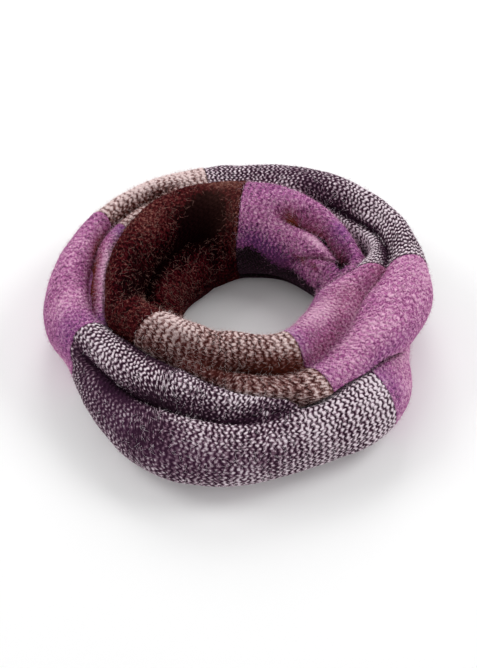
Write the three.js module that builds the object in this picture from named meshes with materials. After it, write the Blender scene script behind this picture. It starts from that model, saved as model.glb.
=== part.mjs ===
// An infinity scarf: one broad loop of brushed knit, wound twice round and laid down as a ring.
// Lengths are in millimetres. +Z is up, +Y is the back of the ring, and the neck opening's axis is Z.
//
// The loop is followed by its winding angle, which runs from 180 (left) through 270 (front),
// 360 (right), 450 (back) and so on to 900, which is the left again after two turns.
// At each winding angle the cloth is a band rolled up across its width. In the upright plane
// at that angle its outline is the outside of a few rolls, cut back where it meets the floor
// or the other turn of the scarf.

import * as THREE from "three";

const CLOTH_THICKNESS = 4;
const SEAM_GAP = 0.3;
const TURN_GAP = 1.8; // between the two turns where they press together
const FLATTENED = 3; // how much of the rolls' underside the scarf's own weight presses flat
const FIRST_ANGLE = 180;
const LOOP_ANGLE = 720;
const TURN_ANGLE = 360;
const RING_STEP = 9; // winding angle between two rings of points
const CROSSING_STEP = 4.5; // the same where the pink stretch climbs over the other turn
const CROSSING_FROM = 306;
const CROSSING_TO = 27;
const NARROWEST_RING = 4.5; // between a seam and the ring beside it
const ROLL_BLEND = 5; // how softly two rolls flow into each other
const ROLL_FADE = 20; // degrees over which a roll's end gives way to the others
const LARGEST_REACH = 110; // no outline lies further than this from its own middle

// The band's edges: it starts under the ring, goes once round its own section by the outside
// and over the top, and its other edge tucks under the start as a flap.
const BAND_START = -110;
const FLAP_START = BAND_START + TURN_ANGLE;
const BAND_END = FLAP_START + 34;
const TUCK_START = FLAP_START - 19;
const TUCK_END = FLAP_START - 4;
const TOP_FROM = 0; // the part of the section that shows has its points closer together
const TOP_TO = 200;
const TOP_STEP = 11;
const HIDDEN_STEP = 18;

const CORE_GAP = 0.9; // between the cloth and the layers rolled up inside it
const NEARBY = [-0.75, -0.5, 0, 0.5, 0.75]; // shares of a step, where the cloth is felt for too
const CORE_STEP = 12;
const CORE_SIDES = 15;

// How the cloth rolls up. Each roll is an ellipse in the upright plane at a winding angle:
// "out" from the ring's axis, "up" from the floor, with a half width and a half height.
const ROLL_COLUMNS = ["at", "out", "up", "halfWidth", "halfHeight"];
const ROLLS = {
  outerRoll: [
    [588, 82, 46, 8, 16],
    [600, 85, 57, 10, 22],
    [615, 87, 60, 11, 23],
    [630, 95, 61, 14, 24],
    [645, 104, 60, 16, 25],
    [660, 111, 58, 18, 25],
    [690, 113, 60, 23, 25],
    [705, 122, 61, 29, 26],
    [720, 133, 60, 34, 30],
    [735, 149, 51, 25, 37],
    [750, 161, 44, 17, 43],
    [765, 160, 44, 17, 43],
    [780, 153, 45, 23, 43],
    [810, 136, 44, 35, 42],
    [840, 151, 42, 18, 40],
    [870, 153, 42, 18, 38],
    [900, 146, 40, 24, 40],
    [915, 134, 49, 22, 32],
    [930, 121, 60, 20, 23],
    [960, 109, 62, 18, 21],
    [975, 110, 65, 13, 18],
    [990, 115, 67, 10, 15],
    [1005, 118, 66, 9, 14],
    [1020, 120, 60, 7, 13],
    [1030, 121, 50, 6, 10],
  ],
  upperRoll: [
    [360, 112, 26, 30, 24],
    [375, 108, 36, 24, 26],
    [390, 114, 50, 13, 25],
    [405, 115, 61, 13, 25],
    [420, 111, 69, 15, 28],
    [435, 104, 70, 22, 33],
    [450, 97, 70, 29, 36],
    [480, 106, 71, 22, 33],
    [510, 101, 70, 21, 33],
    [540, 98, 69, 17, 32],
    [555, 95, 70, 19, 31],
    [570, 83, 71, 20, 31],
    [585, 75, 72, 18, 31],
    [600, 71, 73, 15, 31],
    [630, 70, 74, 14, 31],
    [660, 80, 78, 17, 24],
    [690, 80, 78, 18, 22],
    [720, 88, 74, 18, 20],
    [735, 121, 73, 15, 16],
    [750, 146, 60, 12, 19],
    [765, 144, 54, 11, 20],
    [780, 140, 48, 8, 18],
  ],
  lowerRoll: [
    [850, 150, 30, 12, 22],
    [870, 144, 30, 20, 29],
    [885, 136, 30, 26, 30],
    [900, 128, 30, 28, 30],
    [915, 122, 30, 30, 30],
    [930, 122, 32, 32, 31],
    [945, 125, 32, 34, 31],
    [960, 129, 32, 37, 31],
    [975, 130, 32, 36, 31],
    [990, 130, 32, 32, 31],
    [1005, 127, 33, 30, 32],
    [1020, 128, 34, 30, 33],
    [1035, 130, 35, 37, 34],
    [1050, 132, 33, 34, 31],
    [1065, 119, 30, 34, 30],
    [1080, 110, 27, 39, 27],
    [1095, 105, 26, 31, 26],
    [1110, 103, 31, 22, 31],
    [1125, 98, 37, 19, 34],
    [1140, 93, 43, 19, 35],
    [1155, 89, 45, 19, 38],
    [1170, 88, 37, 18, 34],
    [1185, 85, 33, 21, 33],
    [1200, 79, 33, 22, 33],
    [1230, 74, 33, 20, 33],
    [1260, 70, 33, 22, 33],
    [1290, 72, 34, 22, 34],
    [1320, 74, 34, 23, 34],
    [1350, 76, 34, 24, 34],
    [1380, 84, 38, 22, 34],
    [1410, 97, 58, 18, 20],
    [1440, 108, 62, 16, 14],
    [1455, 134, 60, 14, 16],
    [1470, 152, 52, 12, 16],
  ],
  innerRoll: [
    [825, 134, 50, 9, 20],
    [840, 136, 56, 9, 19],
    [870, 133, 57, 11, 21],
    [885, 123, 55, 11, 21],
    [900, 118, 52, 10, 21],
    [915, 120, 44, 8, 16],
  ],
};

// The deeper folds: where each one runs, how deep it dips under the rolls and half its width.
const FOLD_COLUMNS = ["at", "out", "up", "depth", "halfWidth"];
const FOLDS = {
  overShoulder: [
    [596, 84, 82, 1, 5],
    [610, 86, 81, 3, 5],
    [622, 86, 80, 6, 5],
    [634, 86, 80, 9, 5],
    [647, 90, 80, 8, 5],
    [662, 95, 78, 6, 5],
    [686, 96, 80, 4, 6],
    [713, 102, 78, 4, 6],
    [728, 124, 75, 4, 6],
    [738, 136, 79, 7, 5],
    [749, 142, 77, 9, 5],
    [760, 141, 73, 9, 5],
    [770, 140, 71, 7, 5],
    [779, 139, 70, 4, 5],
    [787, 139, 70, 1, 5],
  ],
  leftSide: [
    [832, 142, 76, 1, 5],
    [843, 142, 74, 5, 5],
    [858, 143, 72, 7, 5],
    [870, 141, 70, 7, 5],
    [885, 131, 70, 8, 5],
    [898, 125, 70, 7, 5],
    [910, 122, 66, 1, 5],
  ],
  underStrip: [
    [918, 143, 64, 1, 5],
    [928, 141, 63, 7, 5],
    [947, 131, 63, 9, 5],
    [967, 122, 65, 10, 5],
    [987, 122, 66, 9, 5],
    [1002, 123, 67, 6, 5],
    [1018, 125, 65, 1, 5],
  ],
  backHollow: [
    [453, 84, 80, 1, 10],
    [463, 84, 79, 9, 12],
    [472, 85, 76, 15, 12],
    [482, 84, 70, 10, 11],
    [495, 84, 66, 5, 7],
    [521, 83, 66, 5, 6],
    [546, 86, 66, 4, 6],
    [556, 88, 68, 1, 6],
  ],
  pinkDimple: [
    [385, 106, 64, 1, 5],
    [395, 105, 67, 5, 5],
    [406, 105, 73, 6, 5],
    [417, 99, 78, 6, 5],
    [430, 93, 82, 1, 5],
  ],
};

const STRETCH_COLUMNS = ["name", "colour", "from", "lean"];
const STRETCHES = [
  ["marl_front", "#6d5763", 196, 4],
  ["pink_right_under", "#9c4f8a", 326, -4],
  ["pink_back_inner", "#93457f", 392, 0],
  ["maroon_inner", "#33141a", 448, -4],
  ["taupe_front_inner", "#7d6460", 572, -2],
  ["pink_right_over", "#a8589a", 664, 4],
  ["marl_back", "#7a6672", 733.5, 1],
  ["taupe_back_left", "#8d7773", 822, 0],
  ["pink_left", "#a55a98", 862, 2],
];

const degrees = THREE.MathUtils.degToRad;

// Each row of a table as an object with the columns' names.
function namedRows(columns, rows) {
  return rows.map((row) =>
    Object.fromEntries(columns.map((name, i) => [name, row[i]])),
  );
}

const folds = Object.values(FOLDS).map((rows) => namedRows(FOLD_COLUMNS, rows));
const rolls = Object.values(ROLLS).map((rows) => namedRows(ROLL_COLUMNS, rows));
const stretches = namedRows(STRETCH_COLUMNS, STRETCHES);

// A smooth curve through one column of a table, from the two rows on each side.
function curveThrough(rows, column, at) {
  const above = rows.findIndex((row) => row.at > at);
  const next = above < 0 ? rows.length - 1 : Math.max(1, above);
  const [a, b] = [rows[next - 1], rows[next]];
  const slope = (low, high) =>
    (high[column] - low[column]) / (high.at - low.at);
  const before = rows[next - 2] ?? a;
  const after = rows[next + 1] ?? b;
  const span = b.at - a.at;
  const t = (at - a.at) / span;
  const startSlope = slope(before, b) * span;
  const endSlope = slope(a, after) * span;
  return (
    (2 * t ** 3 - 3 * t ** 2 + 1) * a[column] +
    (t ** 3 - 2 * t ** 2 + t) * startSlope +
    (3 * t ** 2 - 2 * t ** 3) * b[column] +
    (t ** 3 - t ** 2) * endSlope
  );
}

// What several tables hold at one winding angle. A table may run past the end of the loop.
function sizesAt(tables, angle) {
  const found = [];
  for (const rows of tables) {
    for (const at of [angle, angle + LOOP_ANGLE]) {
      if (at < rows[0].at || at > rows.at(-1).at) continue;
      const sizes = { fromEnd: Math.min(at - rows[0].at, rows.at(-1).at - at) };
      for (const column of Object.keys(rows[0]).slice(1))
        sizes[column] = curveThrough(rows, column, at);
      found.push(sizes);
    }
  }
  return found;
}

// About how far a point lies outside the band's rolls; below 0 it is inside.
function depthOutside(found, out, up) {
  let nearest = Infinity;
  for (const roll of found) {
    const across = (out - roll.out) / roll.halfWidth;
    const along = (up - roll.up) / roll.halfHeight;
    const away =
      (Math.hypot(across, along) - 1) * Math.min(roll.halfWidth, roll.halfHeight);
    const blend = Math.max(0, ROLL_BLEND - Math.abs(nearest - away));
    nearest = Math.min(nearest, away);
    if (Number.isFinite(blend)) nearest -= blend ** 2 / (4 * ROLL_BLEND);
  }
  return nearest;
}

const sectionCache = new Map();

// The band at one winding angle: its own rolls, the other turn's, and its middle.
function sectionAt(angle) {
  const wrapped =
    FIRST_ANGLE + THREE.MathUtils.euclideanModulo(angle - FIRST_ANGLE, LOOP_ANGLE);
  if (!sectionCache.has(wrapped)) {
    const other =
      wrapped < FIRST_ANGLE + TURN_ANGLE ? wrapped + TURN_ANGLE : wrapped - TURN_ANGLE;
    const own = sizesAt(rolls, wrapped);
    const weight = (roll) =>
      Math.min(1, roll.fromEnd / ROLL_FADE) * roll.halfWidth * roll.halfHeight;
    const total = own.reduce((sum, roll) => sum + weight(roll), 0);
    const mean = (column) =>
      own.reduce((sum, roll) => sum + weight(roll) * roll[column], 0) / total;
    const [out, up] = [mean("out"), mean("up")];
    const dips = sizesAt(folds, wrapped).map((fold) => ({
      ...fold,
      direction: Math.atan2(fold.up - up, fold.out - out),
      reach: Math.hypot(fold.up - up, fold.out - out),
    }));
    sectionCache.set(wrapped, { own, other: sizesAt(rolls, other), out, up, dips });
  }
  return sectionCache.get(wrapped);
}

// How far the band's outline lies from its middle, in a direction across the band:
// 0 points away from the ring's axis and 90 points up.
function outlineReach(angle, direction) {
  const section = sectionAt(angle);
  const cos = Math.cos(degrees(direction));
  const sin = Math.sin(degrees(direction));
  const outside = (reach) => {
    const out = section.out + reach * cos;
    const up = section.up + reach * sin;
    const own = depthOutside(section.own, out, up);
    const other = depthOutside(section.other, out, up);
    return Math.max(own, own - other + TURN_GAP, FLATTENED - up) > 0;
  };
  let near = 0;
  while (near < LARGEST_REACH && !outside(near + 2)) near += 2;
  let far = near + 2;
  for (let halving = 0; halving < 12; halving++) {
    const middle = (near + far) / 2;
    if (outside(middle)) far = middle;
    else near = middle;
  }
  return near - foldDepth(section, direction);
}

// How deep the folds dip there.
function foldDepth(section, direction) {
  let depth = 0;
  for (const dip of section.dips) {
    const turned = degrees(direction) - dip.direction;
    const aside = Math.atan2(Math.sin(turned), Math.cos(turned)) * dip.reach;
    depth += dip.depth * Math.exp(-((aside / dip.halfWidth) ** 2));
  }
  return depth;
}

// How far inwards the cloth's other face lies, measured along the same direction.
function slantedThickness(angle, direction, thickness) {
  const step = 3;
  const reach = outlineReach(angle, direction);
  const change =
    (outlineReach(angle, direction + step) - outlineReach(angle, direction - step)) /
    (2 * degrees(step));
  return thickness * Math.min(1.9, Math.hypot(reach, change) / reach);
}

// Evenly spaced values from one number to another, both included.
function steps(from, to, step) {
  const count = Math.max(1, Math.round((to - from) / step));
  return Array.from({ length: count + 1 }, (_, i) => from + ((to - from) * i) / count);
}

const bandDirections = [
  ...steps(BAND_START, TOP_FROM, HIDDEN_STEP).slice(0, -1),
  ...steps(TOP_FROM, TOP_TO, TOP_STEP).slice(0, -1),
  ...steps(TOP_TO, TUCK_START, HIDDEN_STEP).slice(0, -1),
  ...steps(TUCK_START, TUCK_END, TUCK_END - TUCK_START).slice(0, -1),
  ...steps(TUCK_END, BAND_END, HIDDEN_STEP),
];

// How deep the band's outer face lies under the outline where its edge is tucked in.
function tuck(direction) {
  const share = THREE.MathUtils.smoothstep(direction, TUCK_START, TUCK_END);
  return share * (CLOTH_THICKNESS + SEAM_GAP);
}

// A point of the band: `depth` is how far it lies under the outline.
function bandPoint(angle, direction, depth) {
  const section = sectionAt(angle);
  const inward = depth ? slantedThickness(angle, direction, depth) : 0;
  const reach = outlineReach(angle, direction) - inward;
  const out = section.out + reach * Math.cos(degrees(direction));
  const up = section.up + reach * Math.sin(degrees(direction));
  const turned = degrees(angle);
  return new THREE.Vector3(out * Math.cos(turned), out * Math.sin(turned), up);
}

// One ring of points round the cloth's section, moved along the loop by `shift`.
function clothRing(angle, lean, shift) {
  const at = (direction) => angle + lean * Math.cos(degrees(direction));
  const along = (point, direction) => {
    const turned = degrees(at(direction));
    return point.add(
      new THREE.Vector3(-Math.sin(turned), Math.cos(turned), 0).multiplyScalar(shift),
    );
  };
  const face = (extra) =>
    bandDirections.map((direction) =>
      along(bandPoint(at(direction), direction, tuck(direction) + extra), direction),
    );
  return [...face(0), ...face(CLOTH_THICKNESS).reverse()];
}

// A closed mesh through rings of points, with both ends closed by strips across the wall.
function wallGeometry(rings) {
  const size = rings[0].length;
  const positions = rings.flat().flatMap((point) => point.toArray());
  const faces = [];
  for (let ring = 0; ring + 1 < rings.length; ring++) {
    for (let i = 0; i < size; i++) {
      const a = ring * size + i;
      const b = ring * size + ((i + 1) % size);
      faces.push(a, b + size, b, a, a + size, b + size);
    }
  }
  const last = (rings.length - 1) * size;
  for (let i = 0; i + 1 < size / 2; i++) {
    const [a, b, c, d] = [i, i + 1, size - 2 - i, size - 1 - i];
    faces.push(a, b, c, a, c, d);
    faces.push(last + a, last + c, last + b, last + a, last + d, last + c);
  }
  return indexedGeometry(positions, faces);
}

function indexedGeometry(positions, faces) {
  const geometry = new THREE.BufferGeometry();
  geometry.setAttribute("position", new THREE.Float32BufferAttribute(positions, 3));
  geometry.setIndex(faces);
  geometry.computeVertexNormals();
  return geometry;
}

function clothMaterial(colour) {
  return new THREE.MeshStandardMaterial({ color: colour, roughness: 0.95, metalness: 0 });
}

// The winding angles of a stretch's rings: its two seams, and between them the same azimuths
// on both turns.
function ringAngles(from, to) {
  const angles = [from];
  const first = Math.ceil((from + NARROWEST_RING) / CROSSING_STEP) * CROSSING_STEP;
  for (let angle = first; angle <= to - NARROWEST_RING; angle += CROSSING_STEP) {
    const azimuth = angle % TURN_ANGLE;
    const crossing = azimuth > CROSSING_FROM || azimuth < CROSSING_TO;
    if (crossing || angle % RING_STEP === 0) angles.push(angle);
  }
  angles.push(to);
  return angles;
}

// One stretch of the cloth, from its own seam to the next stretch's seam.
function clothStretch(stretch, next) {
  const from = stretch.from;
  const to = next.from > from ? next.from : next.from + LOOP_ANGLE;
  const rings = ringAngles(from, to).map((angle) => {
    if (angle === from) return clothRing(angle, stretch.lean, SEAM_GAP / 2);
    if (angle === to) return clothRing(angle, next.lean, -SEAM_GAP / 2);
    return clothRing(angle, 0, 0);
  });
  const mesh = new THREE.Mesh(wallGeometry(rings), clothMaterial(stretch.colour));
  mesh.name = stretch.name;
  return mesh;
}

// The layers rolled up inside the band, as one rounded body that runs the whole loop.
function hiddenLayers() {
  const angles = steps(FIRST_ANGLE, FIRST_ANGLE + LOOP_ANGLE, CORE_STEP).slice(0, -1);
  const side = TURN_ANGLE / CORE_SIDES;
  const room = (angle, direction) => {
    const depth = tuck(direction) + CLOTH_THICKNESS + CORE_GAP;
    const flap = direction > TUCK_START - side ? CLOTH_THICKNESS + CORE_GAP : 0;
    return outlineReach(angle, direction) - slantedThickness(angle, direction, depth + flap);
  };
  const clearReach = (angle, direction) => {
    let least = Infinity;
    for (const along of NEARBY)
      for (const round of NEARBY)
        least = Math.min(least, room(angle + along * CORE_STEP, direction + round * side));
    return least;
  };
  const positions = [];
  for (const angle of angles) {
    const section = sectionAt(angle);
    const turned = degrees(angle);
    for (let i = 0; i < CORE_SIDES; i++) {
      const direction = i * side;
      const reach = Math.max(3, clearReach(angle, direction));
      const out = section.out + reach * Math.cos(degrees(direction));
      const up = section.up + reach * Math.sin(degrees(direction));
      positions.push(out * Math.cos(turned), out * Math.sin(turned), up);
    }
  }
  const faces = [];
  for (let ring = 0; ring < angles.length; ring++) {
    const nextRing = (ring + 1) % angles.length;
    for (let i = 0; i < CORE_SIDES; i++) {
      const j = (i + 1) % CORE_SIDES;
      const [a, b] = [ring * CORE_SIDES + i, ring * CORE_SIDES + j];
      const [c, d] = [nextRing * CORE_SIDES + j, nextRing * CORE_SIDES + i];
      faces.push(a, c, b, a, d, c);
    }
  }
  const mesh = new THREE.Mesh(indexedGeometry(positions, faces), clothMaterial("#5f4a55"));
  mesh.name = "hidden_layers";
  return mesh;
}

function infinityScarf() {
  const scarf = new THREE.Group();
  stretches.forEach((stretch, i) =>
    scarf.add(clothStretch(stretch, stretches[(i + 1) % stretches.length])),
  );
  scarf.add(hiddenLayers());
  const box = new THREE.Box3().setFromObject(scarf, true);
  const middle = box.getCenter(new THREE.Vector3());
  scarf.position.set(-middle.x, -middle.y, -box.min.z);
  return scarf;
}

export default infinityScarf();
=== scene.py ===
"""An infinity scarf: a broad loop of brushed marl knit, wound twice round and laid down as a ring.

The loop is followed by its winding angle, as in the CAD model: 180 is the left, 270 the front,
360 the right, 450 the back and so on to 900, which is the left again after two turns. At each
winding angle the cloth is a band rolled up across its width, and its outline in the upright plane
is the outside of a few rolls, cut back where it meets the floor or the other turn.

Each stretch of colour is a thin wall of knitted cloth. The tables of rolls and folds are in
millimetres in the ring's own frame, and the meshes are in metres in the CAD model's frame.
"""

import math

import bmesh
import bpy
import numpy as np
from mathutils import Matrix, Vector


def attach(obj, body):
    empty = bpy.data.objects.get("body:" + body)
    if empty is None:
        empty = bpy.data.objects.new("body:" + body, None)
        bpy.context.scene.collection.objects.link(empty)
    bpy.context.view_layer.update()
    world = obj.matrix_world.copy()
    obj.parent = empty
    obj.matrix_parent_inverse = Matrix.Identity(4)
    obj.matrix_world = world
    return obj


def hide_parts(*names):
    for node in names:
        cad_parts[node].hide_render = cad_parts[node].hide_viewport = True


bl_info = {
    "name": "Infinity scarf",
    "version": (1, 0, 0),
    "blender": (4, 5, 0),
    "location": "3D View > Sidebar > Scarf",
    "description": "Knits the stretches of a wound infinity scarf over their CAD solids",
    "category": "Add Mesh",
}

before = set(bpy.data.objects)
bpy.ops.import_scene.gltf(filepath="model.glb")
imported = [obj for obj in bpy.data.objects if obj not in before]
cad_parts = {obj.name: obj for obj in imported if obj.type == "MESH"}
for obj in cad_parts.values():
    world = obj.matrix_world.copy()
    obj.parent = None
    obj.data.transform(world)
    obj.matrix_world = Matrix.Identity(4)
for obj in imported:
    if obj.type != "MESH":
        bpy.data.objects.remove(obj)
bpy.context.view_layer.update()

BODY = "root"

# The ring's frame in the CAD model's frame, in millimetres.
RING_ORIGIN = np.array([0.2, -4.4, -3.0])

# Winding angles, in degrees.
FIRST_ANGLE = 180.0
LOOP_ANGLE = 720.0
TURN_ANGLE = 360.0
ROLL_FADE = 20.0  # over which a roll's end gives way to the others

# Distances in the band's section, in millimetres.
TURN_GAP = 1.8  # between the two turns where they press together
SEAM_GAP = 0.3  # between two stretches, and between an edge and the cloth over it
FLATTENED = 3.0  # how much of the rolls' underside the scarf's own weight presses flat
ROLL_BLEND = 5.0  # how softly two rolls flow into each other
LARGEST_REACH = 110.0  # no outline lies this far from the band's middle
REACH_STEP = 3.0  # of the first search for the outline
REACH_HALVINGS = 11  # how often the second search halves that step
FAR = 1e6  # further outside than any point is

# How the cloth rolls up. Each roll is an ellipse in the upright plane at a winding angle:
# its distance out from the ring's axis and up from the floor, its half width and half height.
ROLLS = {
    "outer roll": [
        [588, 82, 46, 8, 16], [600, 85, 57, 10, 22], [615, 87, 60, 11, 23], [630, 95, 61, 14, 24],
        [645, 104, 60, 16, 25], [660, 111, 58, 18, 25], [690, 113, 60, 23, 25],
        [705, 122, 61, 29, 26], [720, 133, 60, 34, 30], [735, 149, 51, 25, 37],
        [750, 161, 44, 17, 43], [765, 160, 44, 17, 43], [780, 153, 45, 23, 43],
        [810, 136, 44, 35, 42], [840, 151, 42, 18, 40], [870, 153, 42, 18, 38],
        [900, 146, 40, 24, 40], [915, 134, 49, 22, 32], [930, 121, 60, 20, 23],
        [960, 109, 62, 18, 21], [975, 110, 65, 13, 18], [990, 115, 67, 10, 15],
        [1005, 118, 66, 9, 14], [1020, 120, 60, 7, 13], [1030, 121, 50, 6, 10],
    ],
    "upper roll": [
        [360, 112, 26, 30, 24], [375, 108, 36, 24, 26], [390, 114, 50, 13, 25],
        [405, 115, 61, 13, 25], [420, 111, 69, 15, 28], [435, 104, 70, 22, 33],
        [450, 97, 70, 29, 36], [480, 106, 71, 22, 33], [510, 101, 70, 21, 33],
        [540, 98, 69, 17, 32], [555, 95, 70, 19, 31], [570, 83, 71, 20, 31], [585, 75, 72, 18, 31],
        [600, 71, 73, 15, 31], [630, 70, 74, 14, 31], [660, 80, 78, 17, 24], [690, 80, 78, 18, 22],
        [720, 88, 74, 18, 20], [735, 121, 73, 15, 16], [750, 146, 60, 12, 19],
        [765, 144, 54, 11, 20], [780, 140, 48, 8, 18],
    ],
    "lower roll": [
        [850, 150, 30, 12, 22], [870, 144, 30, 20, 29], [885, 136, 30, 26, 30],
        [900, 128, 30, 28, 30], [915, 122, 30, 30, 30], [930, 122, 32, 32, 31],
        [945, 125, 32, 34, 31], [960, 129, 32, 37, 31], [975, 130, 32, 36, 31],
        [990, 130, 32, 32, 31], [1005, 127, 33, 30, 32], [1020, 128, 34, 30, 33],
        [1035, 130, 35, 37, 34], [1050, 132, 33, 34, 31], [1065, 119, 30, 34, 30],
        [1080, 110, 27, 39, 27], [1095, 105, 26, 31, 26], [1110, 103, 31, 22, 31],
        [1125, 98, 37, 19, 34], [1140, 93, 43, 19, 35], [1155, 89, 45, 19, 38],
        [1170, 88, 37, 18, 34], [1185, 85, 33, 21, 33], [1200, 79, 33, 22, 33],
        [1230, 74, 33, 20, 33], [1260, 70, 33, 22, 33], [1290, 72, 34, 22, 34],
        [1320, 74, 34, 23, 34], [1350, 76, 34, 24, 34], [1380, 84, 38, 22, 34],
        [1410, 97, 58, 18, 20], [1440, 108, 62, 16, 14], [1455, 134, 60, 14, 16],
        [1470, 152, 52, 12, 16],
    ],
    "inner roll": [
        [825, 134, 50, 9, 20], [840, 136, 56, 9, 19], [870, 133, 57, 11, 21],
        [885, 123, 55, 11, 21], [900, 118, 52, 10, 21], [915, 120, 44, 8, 16],
    ],
}

# The deeper folds: where each one runs, how deep it dips under the rolls and half its width.
FOLDS = {
    "over the shoulder": [
        [596, 84, 82, 1, 5], [610, 86, 81, 3, 5], [622, 86, 80, 6, 5], [634, 86, 80, 9, 5],
        [647, 90, 80, 8, 5], [662, 95, 78, 6, 5], [686, 96, 80, 4, 6], [713, 102, 78, 4, 6],
        [728, 124, 75, 4, 6], [738, 136, 79, 7, 5], [749, 142, 77, 9, 5], [760, 141, 73, 9, 5],
        [770, 140, 71, 7, 5], [779, 139, 70, 4, 5], [787, 139, 70, 1, 5],
    ],
    "left side": [
        [832, 142, 76, 1, 5], [843, 142, 74, 5, 5], [858, 143, 72, 7, 5], [870, 141, 70, 7, 5],
        [885, 131, 70, 8, 5], [898, 125, 70, 7, 5], [910, 122, 66, 1, 5],
    ],
    "under the strip": [
        [918, 143, 64, 1, 5], [928, 141, 63, 7, 5], [947, 131, 63, 9, 5], [967, 122, 65, 10, 5],
        [987, 122, 66, 9, 5], [1002, 123, 67, 6, 5], [1018, 125, 65, 1, 5],
    ],
    "back hollow": [
        [453, 84, 80, 1, 10], [463, 84, 79, 9, 12], [472, 85, 76, 15, 12], [482, 84, 70, 10, 11],
        [495, 84, 66, 5, 7], [521, 83, 66, 5, 6], [546, 86, 66, 4, 6], [556, 88, 68, 1, 6],
    ],
    "pink dimple": [
        [385, 106, 64, 1, 5], [395, 105, 67, 5, 5], [406, 105, 73, 6, 5], [417, 99, 78, 6, 5],
        [430, 93, 82, 1, 5],
    ],
}

# Finer creases, which the solids leave out.
FINE_FOLDS = {
    "strip crease": [
        [922, 142, 63, 1, 2.5], [931, 139, 63, 5, 2.5], [947, 131, 64, 7, 2.5],
        [967, 122, 66, 7, 2.5], [987, 122, 67, 6, 2.5], [1002, 123, 68, 4, 2.5],
        [1016, 125, 66, 1, 2.5],
    ],
    "pink crease": [
        [383, 107, 64, 1, 3], [389, 106, 64, 7, 5], [395, 106, 67, 5, 3], [406, 105, 73, 3, 2.5],
        [418, 99, 79, 3, 2.5], [430, 93, 84, 1, 2.5],
    ],
    "pink crook": [
        [388, 103, 64, 1, 2.5], [393, 97, 64, 4, 2.5], [399, 90, 62, 5, 3], [408, 81, 55, 4, 3],
        [416, 76, 46, 1, 3],
    ],
    "maroon hollow": [
        [458, 88, 84, 1, 8], [466, 88, 83, 2, 8], [474, 88, 79, 3, 8], [484, 85, 70, 3, 5],
        [500, 84, 66, 4, 4], [530, 83, 66, 5, 4], [546, 86, 66, 5, 4], [556, 88, 68, 1, 4],
    ],
    "taupe dent": [
        [604, 70, 108, 1, 9], [612, 70, 108, 3, 9], [620, 70, 108, 1, 9],
    ],
    "maroon bump side": [
        [534, 70, 55, 0.5, 5], [541, 72, 56, 4, 5], [549, 76, 56, 0.5, 5],
    ],
}

# The narrower crease along each fold's bottom.
CREASE_DEPTH = 0.55  # of a fold's own depth
CREASE_WIDTH = 0.35  # of a fold's own width
DEEPEST = 8.5  # no fold comes nearer to the band's middle

# Where each stretch starts, and how far its seam leans across the band, in degrees.
STRETCHES = {
    "marl_front": (196.0, 4.0),
    "pink_right_under": (326.0, -4.0),
    "pink_back_inner": (392.0, 0.0),
    "maroon_inner": (448.0, -4.0),
    "taupe_front_inner": (572.0, -2.0),
    "pink_right_over": (664.0, 4.0),
    "marl_back": (733.5, 1.0),
    "taupe_back_left": (822.0, 0.0),
    "pink_left": (862.0, 2.0),
}

# How much closer a stretch's courses lie than is usual for its yarn.
CLOSER = {"marl_back": 1.12}

# Directions round the band's section: 0 points out from the ring, 90 up and 180 to the opening.
TOP = 90.0
BAND_START = -110.0  # the two edges of the band
BAND_END = 284.0
TUCK_START = 231.0  # the outer face goes in under the outline from here
TUCK_END = 246.0  # to here
SEEN_FROM = -34.0  # the mesh is fine from here
SEEN_TO = 214.0  # to here
RELIEF_END = 118.0  # the ridges flatten out this far from the top
RELIEF_FADE = 12.0
HAIRS_FROM = -25.0
HAIRS_TO = 212.0

# How finely the meshes follow the cloth, in steps along the loop and round the band.
ARC_STEPS = 40
STEPS_BEFORE, STEPS_SEEN, STEPS_AFTER = 11, 189, 13
ROWS_BEFORE, ROWS_AFTER, ROWS_INNER = 9, 12, 40
LAYER_COLUMNS, LAYER_ROWS = 181, 40
OUTER_ARC = 1.07  # how much longer the outside of a stretch is than the band's middle
STEEPEST = 1.9  # how far a slant may lengthen the way through the cloth
LOWEST_INNER = 0.0035  # of the cloth's inner face, in metres

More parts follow.
